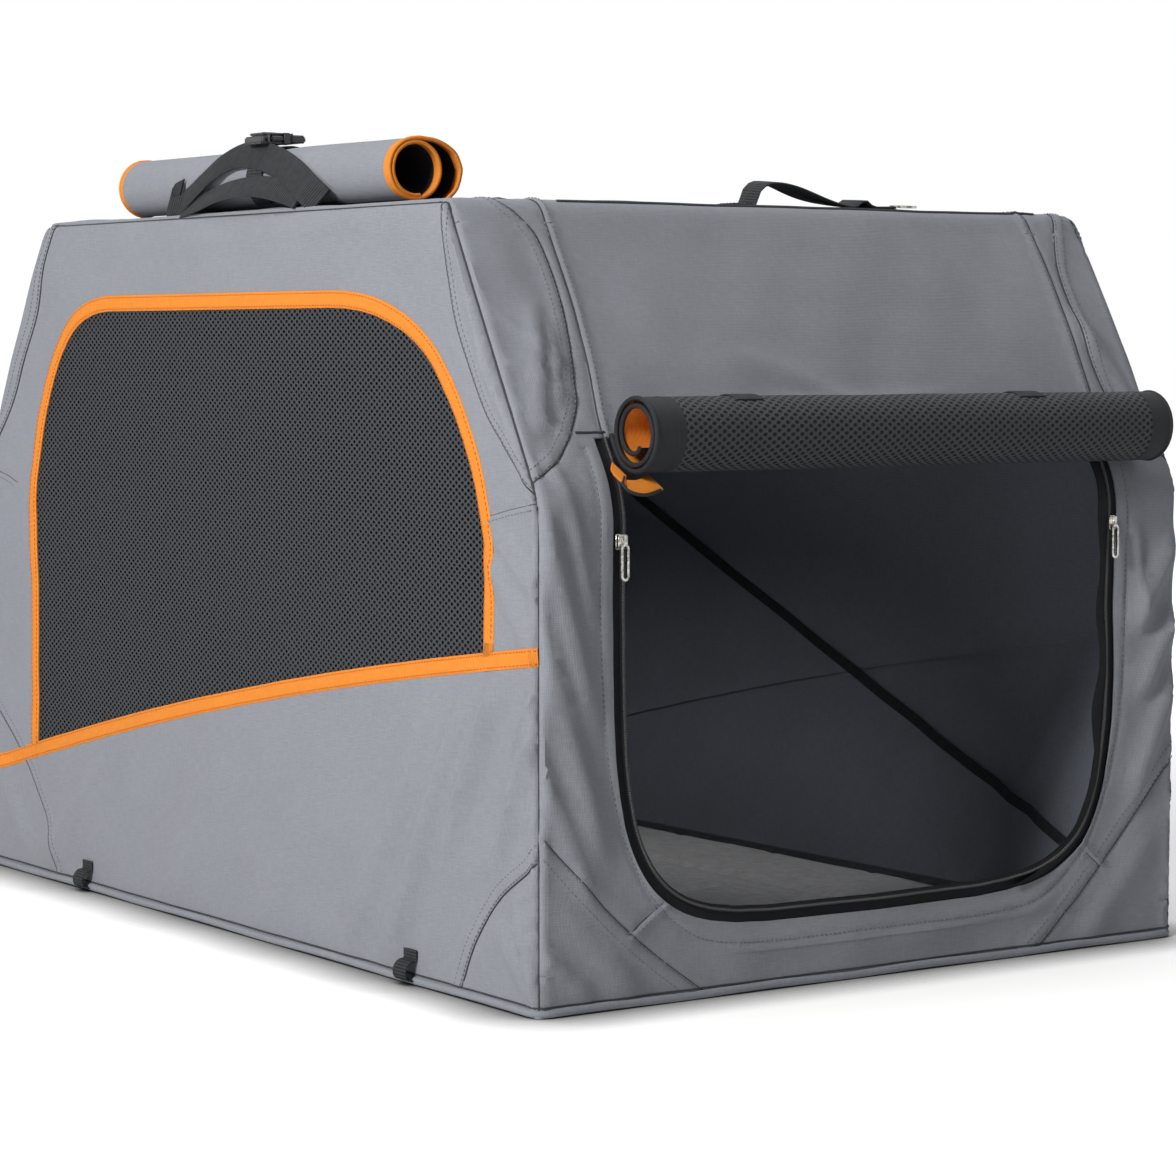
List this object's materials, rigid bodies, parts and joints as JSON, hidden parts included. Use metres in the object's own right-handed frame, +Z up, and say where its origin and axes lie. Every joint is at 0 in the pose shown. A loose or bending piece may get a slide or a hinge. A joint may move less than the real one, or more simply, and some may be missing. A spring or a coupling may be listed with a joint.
{
  "type": "soft folding dog crate",
  "caption": "Soft folding dog crate with a steel tube frame, grey cloth cover, mesh side windows, rolled-up mesh door, roof hatch with rolled cover, and floor mat.",
  "frame": {"origin": "middle of the floor's underside", "axes": "+Z up, -Y out of the door, +X to the right seen from the door"},
  "size_m": [0.6306, 0.9381, 0.6414],
  "materials": {
    "grey_cloth": "woven polyester, matt",
    "black_mesh": "coarse spacer mesh",
    "window_mesh": "fine mesh",
    "orange_binding": "ribbed tape",
    "black_webbing": "woven webbing",
    "black_zip": "coil zip tape",
    "black_plastic": "moulded, satin",
    "nickel": "nickel plated",
    "painted_steel": "powder coat, satin",
    "mat_cloth": "brushed plush"
  },
  "bodies": {
    "base": {"floor_panel": "grey_cloth", "front_hem": "grey_cloth", "rear_hem": "grey_cloth", "front_pivot_rod": "painted_steel", "rear_pivot_rod": "painted_steel", "base_rail_left": "painted_steel", "base_rail_right": "painted_steel", "floor_mat": "mat_cloth", "side_wall_left": "grey_cloth", "window_mesh_left": "window_mesh", "window_binding_left": "orange_binding", "brace_tape_left": "black_webbing", "side_wall_right": "grey_cloth", "window_mesh_right": "window_mesh", "window_binding_right": "orange_binding", "brace_tape_right": "black_webbing", "side_band_left_front": "orange_binding", "side_band_left_rear": "orange_binding", "side_band_right_front": "orange_binding", "side_band_right_rear": "orange_binding", "tie_loop_left_front": "black_webbing", "tie_loop_left_rear": "black_webbing", "tie_loop_right_front": "black_webbing", "tie_loop_right_rear": "black_webbing"},
    "front_lower": {"front_leg_left": "painted_steel", "front_leg_right": "painted_steel", "front_lower_panel": "grey_cloth", "door_zip_lower": "black_zip", "front_knee_strip_left": "grey_cloth", "front_knee_strip_right": "grey_cloth"},
    "front_upper": {"front_upper_hoop": "painted_steel", "front_upper_panel": "grey_cloth", "door_zip_upper_left": "black_zip", "door_zip_upper_right": "black_zip", "door_roll": "black_mesh", "door_strap_left": "black_webbing", "door_strap_right": "black_webbing"},
    "roof": {"roof_panel": "grey_cloth", "roof_mesh": "window_mesh", "roof_zip": "black_zip", "roof_rail_left": "painted_steel", "roof_rail_right": "painted_steel", "cover_roll": "grey_cloth", "cover_strap": "black_webbing", "buckle_socket": "black_plastic", "roof_handle": "black_webbing"},
    "rear_lower": {"rear_leg_left": "painted_steel", "rear_leg_right": "painted_steel", "rear_lower_panel": "grey_cloth", "rear_knee_strip": "grey_cloth"},
    "rear_upper": {"rear_upper_hoop": "painted_steel", "rear_upper_panel": "grey_cloth"},
    "left_door_slider": {"door_slider_left": "nickel"},
    "right_door_slider": {"door_slider_right": "nickel"},
    "left_door_pull": {"door_pull_left": "nickel"},
    "right_door_pull": {"door_pull_right": "nickel"},
    "roof_zip_slider": {"roof_slider": "nickel"},
    "roof_zip_pull": {"roof_pull": "nickel"},
    "buckle": {"buckle_plug": "black_plastic"}
  },
  "joints": [
    {"name": "fold", "type": "hinge", "parent": "base", "child": "front_lower", "pos_m": [0, -0.439, 0.0115], "axis": [-1, 0, 0], "range_deg": [0, 78], "deforming": ["side_wall_left", "window_mesh_left", "window_binding_left", "brace_tape_left", "side_wall_right", "window_mesh_right", "window_binding_right", "brace_tape_right", "side_band_left_front", "side_band_left_rear", "side_band_right_front", "side_band_right_rear", "door_roll", "door_strap_left", "door_strap_right"]},
    {"name": "front_knee", "type": "hinge", "parent": "front_lower", "child": "front_upper", "pos_m": [0, -0.446, 0.36296], "axis": [1, 0, 0], "range_deg": [0, 182], "deforming": ["front_knee_strip_left", "front_knee_strip_right"]},
    {"name": "roof_hinge", "type": "hinge", "parent": "front_upper", "child": "roof", "pos_m": [0, -0.32414, 0.5679], "axis": [-1, 0, 0], "range_deg": [0, 104]},
    {"name": "rear_fold", "type": "hinge", "parent": "base", "child": "rear_lower", "pos_m": [0, 0.439, 0.0115], "axis": [1, 0, 0], "range_deg": [0, 78]},
    {"name": "rear_knee", "type": "hinge", "parent": "rear_lower", "child": "rear_upper", "pos_m": [0, 0.446, 0.36296], "axis": [-1, 0, 0], "range_deg": [0, 182], "deforming": ["rear_knee_strip"]},
    {"name": "left_door_zip_slide", "type": "slide", "parent": "front_lower", "child": "left_door_slider", "axis": [0, 0, -1], "range_m": [0, 0.08]},
    {"name": "right_door_zip_slide", "type": "slide", "parent": "front_lower", "child": "right_door_slider", "axis": [0, 0, -1], "range_m": [0, 0.08]},
    {"name": "left_door_pull_swing", "type": "hinge", "parent": "left_door_slider", "child": "left_door_pull", "pos_m": [-0.2347, -0.4553, 0.3325], "axis": [1, 0, 0], "range_deg": [-60, 0]},
    {"name": "right_door_pull_swing", "type": "hinge", "parent": "right_door_slider", "child": "right_door_pull", "pos_m": [0.2347, -0.4553, 0.3325], "axis": [1, 0, 0], "range_deg": [-60, 0]},
    {"name": "roof_zip_slide", "type": "slide", "parent": "roof", "child": "roof_zip_slider", "axis": [-1, 0, 0], "range_m": [0, 0.3]},
    {"name": "roof_pull_swing", "type": "hinge", "parent": "roof_zip_slider", "child": "roof_zip_pull", "pos_m": [0.167, -0.2607, 0.5855], "axis": [0, -1, 0], "range_deg": [0, 90]},
    {"name": "buckle_release", "type": "slide", "parent": "roof", "child": "buckle", "axis": [1, 0, 0], "range_m": [0, 0.025]}
  ],
  "couplings": [
    {"joint": "front_knee", "follows": "fold", "ratio": 2.324},
    {"joint": "roof_hinge", "follows": "fold", "ratio": 1.324},
    {"joint": "rear_fold", "follows": "fold", "ratio": 1},
    {"joint": "rear_knee", "follows": "fold", "ratio": 2.324}
  ]
}
